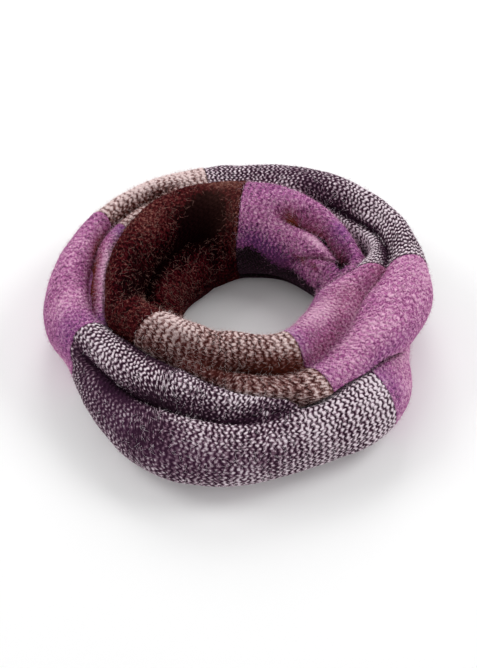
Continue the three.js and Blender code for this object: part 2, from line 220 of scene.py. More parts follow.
# Painted light and shade: where a stretch is painted paler for the light falling on it, or darker
# for the shade in its folds, valleys, hollows and undersides. The columns are the place's middle
# as a share along the stretch and a direction round the band, how far it spreads along and round,
# its painted light or shade (above 0 is paler), how much it dulls the ridges (below 0 sharpens
# them), and its share of the knit's second tint (below 0 is a share of the orange brown painted
# along valleys with their shade).
SHADES = {
    "marl_front": [
        [0.14, 20, 0.24, 38, -0.42, 0.1, 0.3], [0.38, 15, 0.18, 35, -0.22, 0.15, 0.3],
        [0.62, 15, 0.12, 30, -0.1, 0.1, 0.15], [0.68, 48, 0.06, 10, 0.14, 0.1, 0],
        [0.12, 50, 0.14, 10, -0.3, 0.1, 0.1], [0.34, 56, 0.12, 10, -0.24, 0.1, 0.1],
        [0.6, 66, 0.14, 8, -0.2, 0, 0], [0.22, 94, 0.3, 14, -0.08, -0.3, 0],
        [0.55, 108, 0.16, 7, 0.3, -0.2, 0], [0.24, 136, 0.22, 16, -0.36, 0, 0.2],
        [0.48, 128, 0.16, 11, -0.5, 0, 0.1], [0.1, 110, 0.07, 9, -0.7, 0, 0],
        [0.18, 115, 0.07, 9, -0.7, 0, 0], [0.27, 119, 0.07, 9, -0.6, 0, 0],
        [0.15, 42, 0.05, 6, -0.6, 0, 0.1], [0.22, 54, 0.05, 8, -0.6, 0, 0.1],
        [0.28, 72, 0.05, 9, -0.6, 0, 0.1], [0.34, 86, 0.05, 7, -0.6, 0, 0.1],
        [0.41, 94, 0.05, 6, -0.6, 0, 0.1], [0.49, 97, 0.06, 6, -0.6, 0, 0.1],
        [0.58, 93, 0.06, 7, -0.6, 0, 0.1], [0.68, 87, 0.07, 6, -0.45, 0, 0.1],
        [0.7, 120, 0.14, 11, -0.45, 0, 0.1], [0.45, 25, 0.26, 30, 0, 0.16, 0.1],
        [0.78, 35, 0.12, 30, -0.12, 0.05, 0], [0.84, 82, 0.12, 24, 0.06, -0.3, 0],
        [0.95, 45, 0.1, 40, 0.14, -0.2, 0],
    ],
    "pink_right_under": [
        [0.03, 60, 0.08, 60, -0.08, 0, 0.3], [0.5, 20, 0.5, 40, 0.24, 0, 0],
        [0.3, 110, 0.2, 30, -0.2, 0, 0.25], [0.95, 90, 0.1, 30, -0.2, 0, 0.3],
        [0.97, 172, 0.07, 10, -0.8, 0, 0],
    ],
    "pink_back_inner": [
        [0.75, 76, 0.4, 20, -0.14, 0, 0.1], [0.9, 150, 0.25, 26, -0.46, -1.6, 0.25],
        [0.6, 172, 0.25, 26, -0.42, -1.6, 0.3], [0.45, 200, 0.3, 30, -0.4, 0, 0],
        [0.22, 106, 0.14, 10, 0.6, 0, 0], [0.3, 140, 0.14, 14, 0.16, 0, 0],
        [0.1, 75, 0.12, 18, -0.08, 0, 0.55], [0.52, 94, 0.07, 6, -0.16, 0, -0.8],
        [0.26, 158, 0.07, 6, -0.2, 0, -0.8], [0.1, 146, 0.06, 7, -0.3, 0, -0.6],
    ],
    "maroon_inner": [
        [0.05, 90, 0.1, 40, 0.24, 0, 0.45], [0.25, 76, 0.35, 12, 0.18, 0, 0.15],
        [0.18, 94, 0.09, 13, -0.9, 0, 0], [0.16, 116, 0.06, 22, -0.8, 0, 0],
        [0.28, 108, 0.07, 12, -0.8, 0, 0], [0.38, 124, 0.08, 9, -0.7, 0, 0],
        [0.5, 126, 0.08, 8, -0.6, 0, 0], [0.63, 115, 0.09, 8, -0.6, 0, 0],
        [0.13, 180, 0.08, 25, -0.35, 0, 0], [0.3, 150, 0.18, 14, -0.26, 0, 0],
        [0.1, 220, 0.3, 30, -0.3, 0, 0], [0.95, 70, 0.1, 40, 0.05, 0, 0.1],
    ],
    "taupe_front_inner": [
        [0.12, 56, 0.2, 13, -0.26, 0, 0.8], [0.45, 60, 0.22, 18, -0.26, 0, 0.9],
        [0.8, 55, 0.16, 16, -0.18, 0.1, 0.2], [0.85, 78, 0.2, 9, -0.34, 0.2, 0.7],
        [0.3, 78, 0.3, 7, -0.16, 0, 0.5], [0.1, 84, 0.14, 12, 0.34, 0, 0],
        [0.5, 98, 0.6, 12, 0, -0.1, 0], [0.55, 150, 0.6, 30, -0.1, 0, 0.1],
    ],
    "pink_right_over": [
        [0.45, 122, 0.35, 18, 0.48, 0, 0], [0.45, 60, 0.5, 30, 0.08, 0, 0],
        [0.02, 110, 0.08, 60, 0.05, 0, 0.3], [0.5, 40, 0.4, 30, 0.06, 0, 0],
        [0.3, 5, 0.3, 14, -0.1, 0, 0.2], [0.45, 165, 0.4, 16, -0.16, 0, 0.35],
        [0.45, 104, 0.3, 5, -0.14, 0, 0],
    ],
    "marl_back": [
        [0.8, 90, 0.2, 50, -0.32, -0.1, 0], [0.46, 112, 0.08, 10, -0.34, 0, 0.1],
        [0.55, 104, 0.06, 12, -0.34, 0, 0.1], [0.44, 122, 0.06, 6, -0.6, 0, 0.2],
        [0.35, 124, 0.06, 5, -0.7, 0, 0.3], [0.25, 119, 0.06, 5, -0.7, 0, 0.3],
        [0.13, 115, 0.07, 5, -0.7, 0, 0.2], [0.62, 84, 0.14, 20, -0.22, 0, 0.2],
        [0.12, 90, 0.2, 40, -0.2, -0.3, 0], [0.28, 140, 0.2, 14, 0.28, -0.2, 0],
    ],
    "taupe_back_left": [
        [0.45, 80, 0.45, 18, 0.6, 0, 0], [0.6, 102, 0.4, 7, -0.3, 0, 0.2],
        [0.85, 114, 0.2, 9, 0.26, 0.1, 0],
    ],
    "pink_left": [
        [0.95, 55, 0.12, 40, -0.14, 0, 0.3], [0.05, 122, 0.08, 20, -0.02, 0, 0.6],
        [0.5, 126, 0.4, 13, 0.8, 0, 0.05], [0.2, 97, 0.13, 4, -0.05, 0, -0.7],
        [0.42, 108, 0.13, 4, -0.05, 0, -0.8], [0.62, 111, 0.13, 4, -0.05, 0, -0.6],
        [0.92, 125, 0.1, 25, -0.3, 0, 0.5], [0.5, 20, 0.4, 20, -0.08, 0, 0.1],
        [0.02, 70, 0.06, 30, -0.1, 0, 0],
    ],
}
# Below the pink one's lower edge at the back of the inner turn the knit is painted near black:
# the edge's share of the stretch and its direction.
UNDER_PINK = [[0.0, 190], [0.13, 193], [0.25, 199], [0.42, 203], [0.67, 188], [1.0, 168]]
# Painted shade: a near black patch across the seam of two pink stretches stands in for the shade
# of the deep fold there.
PAINTED_HOLE_SHADE = {"pink_right_under": (0.94, 98), "pink_back_inner": (-0.06, 94)}
HOLE_ALONG, HOLE_AROUND = 0.08, 13.0  # half its size, as a share of the stretch and in degrees
# Near black, below the pink's lower edge and as the painted shade of the hole.
NEAR_BLACK = "#0d0405"
UNDER_FADE = 44.0  # degrees over which the near black takes over
FULL_CREASE = 10.0  # the depth of a fold that counts as one whole crease, in millimetres

# How each knit is finished: the spacing of its courses in metres, the ridges' contrast, the
# middle level from dark to pale, how strong and how crooked its flecks are, its slow drift, how
# much painted shade darkens its folds and how much orange brown is painted into them with it, its
# gloss and sheen, and its hairs per metre of length.
FINISH_PARTS = "course contrast level fleck squiggle drift hollow rust gloss sheen fibres".split()
FINISHES = {
    "marl": (0.0048, 1.40, 0.36, 2.4, 0.6, 1.0, 0.48, 0.0, 0.15, 0.10, 10000),
    "pink": (0.0048, 0.30, 0.50, 2.7, 1.2, 0.8, 0.28, 0.55, 0.15, 0.15, 24000),
    "maroon": (0.0048, 0.30, 0.24, 2.4, 1.2, 0.6, 0.40, 0.0, 0.02, 0.20, 14000),
    "taupe": (0.0057, 0.95, 0.44, 2.6, 0.8, 0.9, 0.50, 0.3, 0.12, 0.10, 24000),
}

# The shape of the knit's ridges, which the relief and the pattern share.
RIDGE_POWER = 1.7
RIDGE_LOW, RIDGE_SWING = 0.55, 0.45  # how high a ridge is where its wave crosses, and the rest

# How the pattern strays on the cloth: a seed, the distance over which it strays and how far, in
# metres.
COURSES_STRAY = ((11, 0.022, 0.0008), (14, 0.009, 0.0005))
WALES_STRAY = ((12, 0.030, 0.0015), (15, 0.010, 0.0008))
SWELL_SEED, SWELL_SIZE = 13, 0.028

# The brushed hairs.
HAIR_SEED = 20
HAIR_POINTS = 3
HAIR_REACH = 0.006  # of the longest, in metres
HAIR_LOWEST = 0.0003

# The photograph's camera looks down at the ring from the front.
CAMERA_ELEVATION = 50
CAMERA_DISTANCE = 1.4
CAMERA_TARGET = (0, -14, 40)  # in the ring's frame
CAMERA_LENS = 86.77  # for a frame 36 mm high

# The studio's lamps: where each one stands round the ring, in degrees, and its share of power.
LAMPS = (
    ("left_lamp", 165, 42, 0.85),
    ("back_lamp", 90, 42, 1.0),
    ("right_lamp", 15, 46, 1.15),
    ("front_lamp", 270, 38, 0.35),
)
LAMP_SIZE = 0.9
LAMP_DISTANCE = 1.4  # of its foot from the ring's middle
FLOOR_SIZE = 4.0


def linear(colour):
    """A colour written as sRGB hex, as the linear red, green, blue that Blender works in."""
    shares = [int(colour[i : i + 2], 16) / 255 for i in (1, 3, 5)]
    return tuple(s / 12.92 if s <= 0.04045 else ((s + 0.055) / 1.055) ** 2.4 for s in shares)


def curve_through(rows, column, at):
    """A smooth curve through one column of a table, from the two rows on each side."""
    places, values = rows[:, 0], rows[:, column]
    after = np.clip(np.searchsorted(places, at, side="right"), 1, len(places) - 1)
    before = after - 1
    earlier = np.maximum(after - 2, 0)
    later = np.minimum(after + 1, len(places) - 1)
    span = places[after] - places[before]
    t = (at - places[before]) / span
    start = (values[after] - values[earlier]) / (places[after] - places[earlier]) * span
    end = (values[later] - values[before]) / (places[later] - places[before]) * span
    return (
        (2 * t**3 - 3 * t**2 + 1) * values[before]
        + (t**3 - 2 * t**2 + t) * start
        + (3 * t**2 - 2 * t**3) * values[after]
        + (t**3 - t**2) * end
    )


def sizes_at(tables, angle):
    """What several tables hold at each winding angle. A table may run past the loop's end."""
    found = []
    for table in tables.values():
        rows = np.array(table, float)
        for at in (angle, angle + LOOP_ANGLE):
            there = (at >= rows[0, 0]) & (at <= rows[-1, 0])
            if not there.any():
                continue
            held = np.clip(at, rows[0, 0], rows[-1, 0])
            ends = np.minimum(held - rows[0, 0], rows[-1, 0] - held)
            columns = [curve_through(rows, column, held) for column in (1, 2, 3, 4)]
            found.append((there, ends, *columns))
    return found


def depth_outside(found, out, up):
    """About how far each point lies outside the band's rolls; below 0 it is inside."""
    nearest = np.full(out.shape, FAR)
    for there, _, roll_out, roll_up, half_width, half_height in found:
        across = (out - roll_out) / half_width
        along = (up - roll_up) / half_height
        away = (np.hypot(across, along) - 1) * np.minimum(half_width, half_height)
        away = np.where(there, away, FAR)
        blend = np.maximum(0, ROLL_BLEND - np.abs(nearest - away))
        nearest = np.minimum(nearest, away) - blend**2 / (4 * ROLL_BLEND)
    return nearest


def wrapped(angle):
    """The same place on the loop, as an angle of the two turns that the tables cover."""
    return FIRST_ANGLE + np.mod(angle - FIRST_ANGLE, LOOP_ANGLE)


def other_turn(angle):
    """The winding angle of the other turn at the same side of the ring."""
    return np.where(angle < FIRST_ANGLE + TURN_ANGLE, angle + TURN_ANGLE, angle - TURN_ANGLE)


class Section:
    """The band's section at each of many winding angles: its rolls, folds and middle."""

    def __init__(self, angle):
        self.angle = wrapped(angle)
        self.own = sizes_at(ROLLS, self.angle)
        self.other = sizes_at(ROLLS, other_turn(self.angle))
        self.folds = sizes_at({**FOLDS, **FINE_FOLDS}, self.angle)
        weights = [
            np.where(there, np.minimum(1, ends / ROLL_FADE) * width * height, 0)
            for there, ends, _, _, width, height in self.own
        ]
        total = sum(weights)
        self.out = sum(w * roll[2] for w, roll in zip(weights, self.own)) / total
        self.up = sum(w * roll[3] for w, roll in zip(weights, self.own)) / total

    def is_outside(self, reach, cos, sin):
        """Whether points at these reaches lie outside the band, in the other turn or too low."""
        out = self.out + reach * cos
        up = self.up + reach * sin
        own = depth_outside(self.own, out, up)
        other = depth_outside(self.other, out, up)
        return np.maximum.reduce([own, own - other + TURN_GAP, FLATTENED - up]) > 0

    def fold_depth(self, direction):
        """How deep the folds dip there, with a narrower crease along the bottom of each."""
        depth = np.zeros(direction.shape)
        for there, _, out, up, deep, half_width in self.folds:
            towards = np.arctan2(up - self.up, out - self.out)
            turned = np.radians(direction) - towards
            aside = np.arctan2(np.sin(turned), np.cos(turned))
            aside = aside * np.hypot(up - self.up, out - self.out) / half_width
            dip = np.exp(-(aside**2)) + CREASE_DEPTH * np.exp(-((aside / CREASE_WIDTH) ** 2))
            depth += np.where(there, deep * dip, 0)
        return depth

    def reach(self, direction):
        """How far the outline lies from the middle in each direction, without the folds."""
        cos, sin = np.cos(np.radians(direction)), np.sin(np.radians(direction))
        near = np.zeros(direction.shape)
        moving = np.ones(direction.shape, bool)
        step = REACH_STEP
        while moving.any() and near.max() < LARGEST_REACH:
            moving &= ~self.is_outside(near + step, cos, sin)
            near = np.where(moving, near + step, near)
        far = near + step
        for _ in range(REACH_HALVINGS):
            middle = (near + far) / 2
            out = self.is_outside(middle, cos, sin)
            far = np.where(out, middle, far)
            near = np.where(out, near, middle)
        return near

    def point(self, reach, direction):
        """The points of the model's frame at these reaches, in metres."""
        out = self.out + reach * np.cos(np.radians(direction))
        up = self.up + reach * np.sin(np.radians(direction))
        turned = np.radians(self.angle)
        place = np.stack([out * np.cos(turned), out * np.sin(turned), up], axis=-1)
        return (place + RING_ORIGIN) / 1000


def tuck(direction, thickness):
    """How deep the band's outer face lies under the outline where its edge is tucked in."""
    t = np.clip((direction - TUCK_START) / (TUCK_END - TUCK_START), 0, 1)
    return t * t * (3 - 2 * t) * (thickness + SEAM_GAP)


def soft_wander(u, v, seed, size):
    """A slow unevenness from -1 to 1 over distances of about `size` metres."""
    made = np.random.default_rng(seed)
    total = np.zeros(u.shape)
    for _ in range(6):
        turn, phase = made.uniform(0, 2 * math.pi, 2)
        rate = 2 * math.pi / (size * made.uniform(0.7, 1.6))
        total += np.sin(rate * (u * math.cos(turn) + v * math.sin(turn)) + phase)
    return total / 3.2


class Stretch:
    """One stretch's cloth as grids of points: columns along the loop by rows round the band."""

    def __init__(self, name, gauge, course_spacing):
        names = list(STRETCHES)
        following = names[(names.index(name) + 1) % len(names)]
        self.name = name
        start, start_lean = STRETCHES[name]
        end, end_lean = STRETCHES[following]
        end += LOOP_ANGLE if end < start else 0
        spacing = gauge.mesh_spacing * 1
        coarse = np.linspace(start, end, ARC_STEPS)
        arc = np.mean(Section(coarse).out) * math.radians(end - start) / 1000
        self.course_spacing = course_spacing
        closer = CLOSER.get(name, 1.0)
        self.courses = round(arc * closer / course_spacing)
        self.length = self.courses * course_spacing
        self.flat_length = self.length / closer
        columns = round(arc * OUTER_ARC / spacing) + 1
        directions = np.concatenate(
            [
                np.linspace(BAND_START, SEEN_FROM, STEPS_BEFORE, endpoint=False),
                np.linspace(SEEN_FROM, SEEN_TO, STEPS_SEEN, endpoint=False),
                np.linspace(SEEN_TO, BAND_END, STEPS_AFTER + 1),
            ]
        )
        first, last = STEPS_BEFORE, STEPS_BEFORE + STEPS_SEEN
        self.share = np.linspace(0, 1, columns)[:, None]
        direction = np.broadcast_to(directions, (columns, len(directions)))
        section = self.section(self.share, direction, start, end, start_lean, end_lean)
        thickness = gauge.cloth_thickness * 1000
        reach = section.reach(direction)
        folded = section.fold_depth(direction)
        depth = np.minimum(folded + tuck(direction, thickness), reach - DEEPEST)
        line = section.point(reach - depth, direction)
        line = self.eased(line, columns)
        steps = np.linalg.norm(np.diff(line, axis=1), axis=2)
        gone = np.concatenate([np.zeros((columns, 1)), np.cumsum(steps, axis=1)], axis=1)
        seen_rows = round(np.mean(gone[:, last] - gone[:, first]) / spacing) + 1
        self.v = gone - gone[:, [np.argmin(abs(directions - TOP))]]
        hidden_start = np.linspace(gone[:, 0], gone[:, first], ROWS_BEFORE + 1)[:-1].T
        shown = np.linspace(gone[:, first], gone[:, last], seen_rows)[:-1].T
        hidden_end = np.linspace(gone[:, last], gone[:, -1], ROWS_AFTER).T
        wanted = np.concatenate([hidden_start, shown, hidden_end], axis=1)
        every = [line[..., 0], line[..., 1], line[..., 2], self.v, folded, direction]
        grids = [
            np.stack([np.interp(w, g, values) for w, g, values in zip(wanted, gone, grid)])
            for grid in every
        ]
        self.base = np.stack(grids[:3], axis=-1)
        self.v, self.folded, self.direction = grids[3:]
        self.u = np.broadcast_to(self.share * self.length, self.v.shape)
        back = np.linspace(BAND_END, BAND_START, ROWS_INNER)
        inner_direction = np.broadcast_to(back, (columns, ROWS_INNER))
        inner = self.section(self.share, inner_direction, start, end, start_lean, end_lean)
        inner_reach = inner.reach(inner_direction) - inner.fold_depth(inner_direction)
        inner_reach = np.maximum(inner_reach, DEEPEST)
        change = np.gradient(inner_reach, np.radians(back), axis=1)
        slant = np.minimum(STEEPEST, np.hypot(inner_reach, change) / inner_reach)
        inner_reach -= tuck(inner_direction, thickness) + thickness * slant
        self.inner = inner.point(inner_reach, inner_direction)
        self.normal = self.normals(self.base)

    def section(self, share, direction, start, end, start_lean, end_lean):
        """The sections along the stretch. Each seam leans, and the courses lean with it."""
        lean = start_lean * (1 - share) + end_lean * share
        return Section(start + share * (end - start) + lean * np.cos(np.radians(direction)))

    def eased(self, line, columns):
        """Moves each end back by half the gap that is left at a seam."""
        along = np.gradient(line, axis=0)
        along /= np.linalg.norm(along, axis=2, keepdims=True)
        ends = np.zeros((columns, 1, 1))
        ends[0], ends[-1] = 1, -1
        return line + along * ends * SEAM_GAP / 2000

    def normals(self, grid):
        """The directions that point out of the cloth."""
        along = np.gradient(grid, axis=0)
        across = np.gradient(grid, axis=1)
        normal = np.cross(along, across)
        return normal / np.linalg.norm(normal, axis=2, keepdims=True)


def purl_ridges(u, v, gauge, course_spacing):
    """The relief of the knit's purl side from 0 to 1: a wavy ridge of yarn for each course."""
    turn = 2 * math.pi * v / gauge.wale_spacing
    course = (u + gauge.wave * np.sin(turn)) / course_spacing
    aside = np.abs(course - np.floor(course) - 0.5) * 2
    ridge = np.clip(1 - aside**RIDGE_POWER, 0, 1)
    return ridge * (RIDGE_LOW + RIDGE_SWING * np.abs(np.sin(turn)))


def shades(stretch):
    """How the colour changes over a stretch, painted light and shade among it, each as one number
    for each of its points.
    """
    tone, dull, tint = np.zeros((3, *stretch.v.shape))
    for share, direction, along, around, paler, duller, tinted in SHADES[stretch.name]:
        away = ((stretch.share - share) / along) ** 2
        away = away + ((stretch.direction - direction) / around) ** 2
        near = np.exp(-away)
        tone += paler * near
        dull += duller * near
        tint += tinted * near
    # The hidden start of the band counts as lying past its far edge.
    beyond = np.where(stretch.direction < -45, stretch.direction + 360, stretch.direction)
    under = np.zeros(stretch.v.shape)
    # Near black painted below the pink's lower edge.
    if stretch.name == "pink_back_inner":
        edge = np.interp(stretch.share, *np.transpose(UNDER_PINK)) + 4 * np.sin(stretch.share * 14)
        under = np.clip((beyond - edge) / UNDER_FADE + 0.5, 0, 1)
    # Painted shade of the hole between the pink folds, in near black.
    if stretch.name in PAINTED_HOLE_SHADE:
        share, direction = PAINTED_HOLE_SHADE[stretch.name]
        away = ((stretch.share - share) / HOLE_ALONG) ** 2
        away = away + ((beyond - direction) / HOLE_AROUND) ** 2
        under = np.maximum(under, np.exp(-away))
    # Painted shade: the deeper a fold, the darker and browner the knit is painted there, and the
    # fewer hairs it has.
    crease = np.clip(stretch.folded / FULL_CREASE, 0, 1.2)
    return {
        "tone": tone,
        "dull": dull,
        "tint": np.clip(tint, 0, 1),
        "rust": np.clip(-tint, 0, 1),
        "under": under,
        "crease": crease,
    }


def in_scene(name, data):
    """A new object of this mesh, lamp or camera, in the scene."""
    made = bpy.data.objects.new(name, data)
    bpy.context.scene.collection.objects.link(made)
    return made


def grid_mesh(name, points, uv):
    """A mesh of four-sided faces through a grid of points, with its places on the flat knit."""
    columns, rows = points.shape[:2]
    mesh = bpy.data.meshes.new(name)
    bm = bmesh.new()
    bmesh.ops.create_grid(bm, x_segments=rows - 1, y_segments=columns - 1, size=0.5)
    bm.to_mesh(mesh)
    bm.free()
    mesh.vertices.foreach_set("co", points.reshape(-1).astype(np.float32))
    corners = np.zeros(len(mesh.loops), np.int32)
    mesh.loops.foreach_get("vertex_index", corners)
    mesh.uv_layers.new(name="knit")
    at_corners = uv.reshape(-1, 2)[corners].reshape(-1).astype(np.float32)
    mesh.uv_layers["knit"].data.foreach_set("uv", at_corners)
    return mesh


def knitted_wall(stretch, gauge):
    """A closed thin wall of cloth: the knitted face, the edges and the smoother back."""

    def stray(rows):
        return sum(soft_wander(stretch.u, stretch.v, seed, size) * far for seed, size, far in rows)

    wander_u, wander_v = stray(COURSES_STRAY), stray(WALES_STRAY)
    u = stretch.u + wander_u * np.minimum(1, 8 * np.minimum(stretch.share, 1 - stretch.share))
    v = stretch.v + wander_v
    ridges = purl_ridges(u, v, gauge, stretch.course_spacing)
    relief = (ridges - 0.5) * gauge.ridge_height * 0.6
    relief += soft_wander(stretch.u, stretch.v, SWELL_SEED, SWELL_SIZE) * gauge.unevenness
    hidden = np.clip((np.abs(stretch.direction - TOP) - RELIEF_END) / RELIEF_FADE, 0, 1)
    outer = stretch.base + stretch.normal * (relief * (1 - hidden))[..., None]
    outer[..., 2] = np.maximum(outer[..., 2], 0)
    inner = stretch.inner
    inner[..., 2] = np.maximum(inner[..., 2], LOWEST_INNER)
    ring = np.concatenate([outer, inner, outer[:, :1]], axis=1)
    behind = inner.shape[1] + 1
    last_v = v[:, -1:] - np.linspace(0, 1, behind) * (v[:, -1:] - v[:, :1])
    ring_uv = np.stack(
        [
            np.concatenate([u, np.repeat(u[:, :1], behind, axis=1)], axis=1),
            np.concatenate([v, last_v], axis=1),
        ],
        axis=-1,
    )
    mesh = grid_mesh(stretch.name, ring, ring_uv)
    for name, values in shades(stretch).items():
        padded = np.concatenate([values, np.repeat(values[:, :1], behind, axis=1)], axis=1)
        attribute = mesh.attributes.new(name, "FLOAT", "POINT")
        attribute.data.foreach_set("value", padded.reshape(-1).astype(np.float32))
    closed_wall(mesh)
    mesh.shade_smooth()
    return in_scene(stretch.name + "_knit", mesh)


def closed_wall(mesh):
    """Joins the two long edges of a wall's grid and closes its two ends."""
    bm = bmesh.new()
    bm.from_mesh(mesh)
    edges = [e for e in bm.edges if e.is_boundary]
    rim = list({v for e in edges for v in e.verts})
    bmesh.ops.remove_doubles(bm, verts=rim, dist=1e-6)
    ends = [e for e in bm.edges if e.is_boundary]
    made = bmesh.ops.edgeloop_fill(bm, edges=ends)
    bmesh.ops.triangulate(bm, faces=made["faces"], ngon_method="EAR_CLIP")
    if bm.calc_volume(signed=True) < 0:
        bmesh.ops.reverse_faces(bm, faces=bm.faces[:])
    bm.to_mesh(mesh)
    bm.free()


def add_node(tree, kind, settings=None, inputs=None):
    """Adds one node with its settings, and its inputs' values or links."""
    node = tree.nodes.new(kind)
    for name, value in (settings or {}).items():
        setattr(node, name, value)
    for name, value in (inputs or {}).items():
        if isinstance(value, bpy.types.NodeSocket):
            tree.links.new(value, node.inputs[name])
        else:
            node.inputs[name].default_value = value
    return node


def mixed(tree, share, first, second):
    """The colour between two others."""
    inputs = {"Factor": share}
    node = add_node(tree, "ShaderNodeMix", {"data_type": "RGBA"}, inputs)
    for socket, colour in ((node.inputs[6], first), (node.inputs[7], second)):
        if isinstance(colour, bpy.types.NodeSocket):
            tree.links.new(colour, socket)
        else:
            socket.default_value = (*colour[:3], 1)
    return node.outputs[2]


def knit_material(name, colours, gauge, finish):
    """Brushed wool-blend knit, purl side out: a pale yarn twisted with a dark one.

    The ridges carry most of the pale yarn and are painted paler still for the light on them, the
    gaps between them show the dark one and are painted darker for the shade in them, and the
    brushed fibres give a soft sheen towards the edges.
    """
    material = bpy.data.materials.new(name)
    material.use_nodes = True
    tree = material.node_tree
    shader = tree.nodes["Principled BSDF"]

    def sums(operation, first, second=0.5, clamp=False):
        settings = {"operation": operation, "use_clamp": clamp}
        return add_node(tree, "ShaderNodeMath", settings, {0: first, 1: second}).outputs[0]

    place = add_node(tree, "ShaderNodeUVMap", {"uv_map": "knit"}).outputs["UV"]
    split = add_node(tree, "ShaderNodeSeparateXYZ", None, {0: place})
    turn = sums("MULTIPLY", split.outputs["Y"], 2 * math.pi / gauge.wale_spacing)
    wave = sums("SINE", turn)
    course = sums(
        "ADD",
        sums("DIVIDE", split.outputs["X"], finish["course"]),
        sums("MULTIPLY", wave, gauge.wave / finish["course"]),
    )
    aside = sums("MULTIPLY", sums("ABSOLUTE", sums("SUBTRACT", sums("FRACT", course), 0.5)), 2)
    ridge = sums("SUBTRACT", 1, sums("POWER", aside, RIDGE_POWER), clamp=True)
    plump = sums("ADD", sums("MULTIPLY", sums("ABSOLUTE", wave), RIDGE_SWING), RIDGE_LOW)
    relief = sums("MULTIPLY", ridge, plump)

    coordinates = add_node(tree, "ShaderNodeTexCoord").outputs["Object"]

    def noise(**inputs):
        inputs["Vector"] = coordinates
        node = add_node(tree, "ShaderNodeTexNoise", {"noise_dimensions": "3D"}, inputs)
        return node.outputs["Fac"]

    # Flecks of yarn every 2 to 3 mm, and a slow drift of the dye over 3 to 4 cm.
    yarn = noise(Scale=380, Detail=3, Roughness=0.65, Distortion=finish["squiggle"])
    drift = noise(Scale=28, Detail=2, Roughness=0.5)
    fleck = sums("MULTIPLY", sums("SUBTRACT", yarn, 0.5), finish["fleck"])
    shift = sums("MULTIPLY", sums("SUBTRACT", drift, 0.5), finish["drift"])
    place_on = {
        shade: add_node(tree, "ShaderNodeAttribute", {"attribute_name": shade}).outputs["Fac"]
        for shade in ("tone", "dull", "tint", "rust", "under", "crease")
    }
    contrast = finish["contrast"]
    sharp = sums("SUBTRACT", contrast, sums("MULTIPLY", place_on["dull"], contrast))
    level = sums("MULTIPLY", sums("SUBTRACT", relief, 0.42), sharp)
    level = sums("ADD", sums("ADD", level, finish["level"]), sums("ADD", fleck, shift))
    # Painted light and shade from the table of shades.
    level = sums("ADD", level, place_on["tone"])
    # Painted shade: the folds darken the knit by their depth.
    shaded = sums("MULTIPLY", place_on["crease"], finish["hollow"])
    level = sums("SUBTRACT", level, shaded, clamp=True)
    ramp = add_node(tree, "ShaderNodeValToRGB", None, {"Fac": level})
    ramp.color_ramp.elements[0].color = (*colours[0], 1)
    ramp.color_ramp.elements[1].color = (*colours[2], 1)
    middle = ramp.color_ramp.elements.new(0.5)
    middle.color = (*colours[1], 1)
    patchy = sums("MULTIPLY", place_on["tint"], sums("MULTIPLY", drift, 1.5), clamp=True)
    tinted = mixed(tree, patchy, ramp.outputs["Color"], colours[3])
    # Painted shade: orange brown in the folds, by their depth, and along the valleys that the
    # table of shades paints.
    shade_browned = sums("MULTIPLY", place_on["crease"], finish["rust"])
    shade_browned = sums("MULTIPLY", sums("ADD", shade_browned, place_on["rust"]), 0.8, clamp=True)
    tinted = mixed(tree, shade_browned, tinted, colours[4])
    # The near black has a few pale specks, and it meets the knit along a ragged edge. It lies
    # below the pink's lower edge, and it is the painted shade of the hole across the pink seam.
    speck = sums("GREATER_THAN", yarn, 0.66)
    below = mixed(tree, sums("MULTIPLY", speck, 0.30), linear(NEAR_BLACK), colours[2])
    speckled = sums("ADD", place_on["under"], sums("MULTIPLY", sums("SUBTRACT", yarn, 0.5), 1.6))
    tinted = mixed(tree, sums("GREATER_THAN", speckled, 0.5), tinted, below)

    fine = sums("ADD", sums("MULTIPLY", relief, 1.0), sums("MULTIPLY", yarn, 0.55))
    bump = add_node(
        tree,
        "ShaderNodeBump",
        None,
        {"Height": fine, "Distance": gauge.ridge_height * 1.1, "Strength": 0.9},
    )
    tree.links.new(tinted, shader.inputs["Base Color"])
    tree.links.new(bump.outputs["Normal"], shader.inputs["Normal"])
    shader.inputs["Roughness"].default_value = 0.92
    shader.inputs["Specular IOR Level"].default_value = finish["gloss"]
    shader.inputs["Sheen Weight"].default_value = finish["sheen"]
    shader.inputs["Sheen Roughness"].default_value = 0.4
    shader.inputs["Sheen Tint"].default_value = (*colours[1], 1)
    return material


def fibre_material(name, colour):
    """Brushed mohair fibre: a fine pale hair with a soft gloss."""
    material = bpy.data.materials.new(name)
    material.use_nodes = True
    tree = material.node_tree
    shader = tree.nodes["Principled BSDF"]
    coordinates = add_node(tree, "ShaderNodeTexCoord").outputs["Object"]
    inputs = {"Vector": coordinates, "Scale": 300, "Detail": 1}
    noise = add_node(tree, "ShaderNodeTexNoise", None, inputs)
    darker = tuple(c * 0.55 for c in colour)
    tree.links.new(mixed(tree, noise.outputs["Fac"], darker, colour), shader.inputs["Base Color"])
    shader.inputs["Roughness"].default_value = 0.6
    shader.inputs["IOR"].default_value = 1.55
    return material


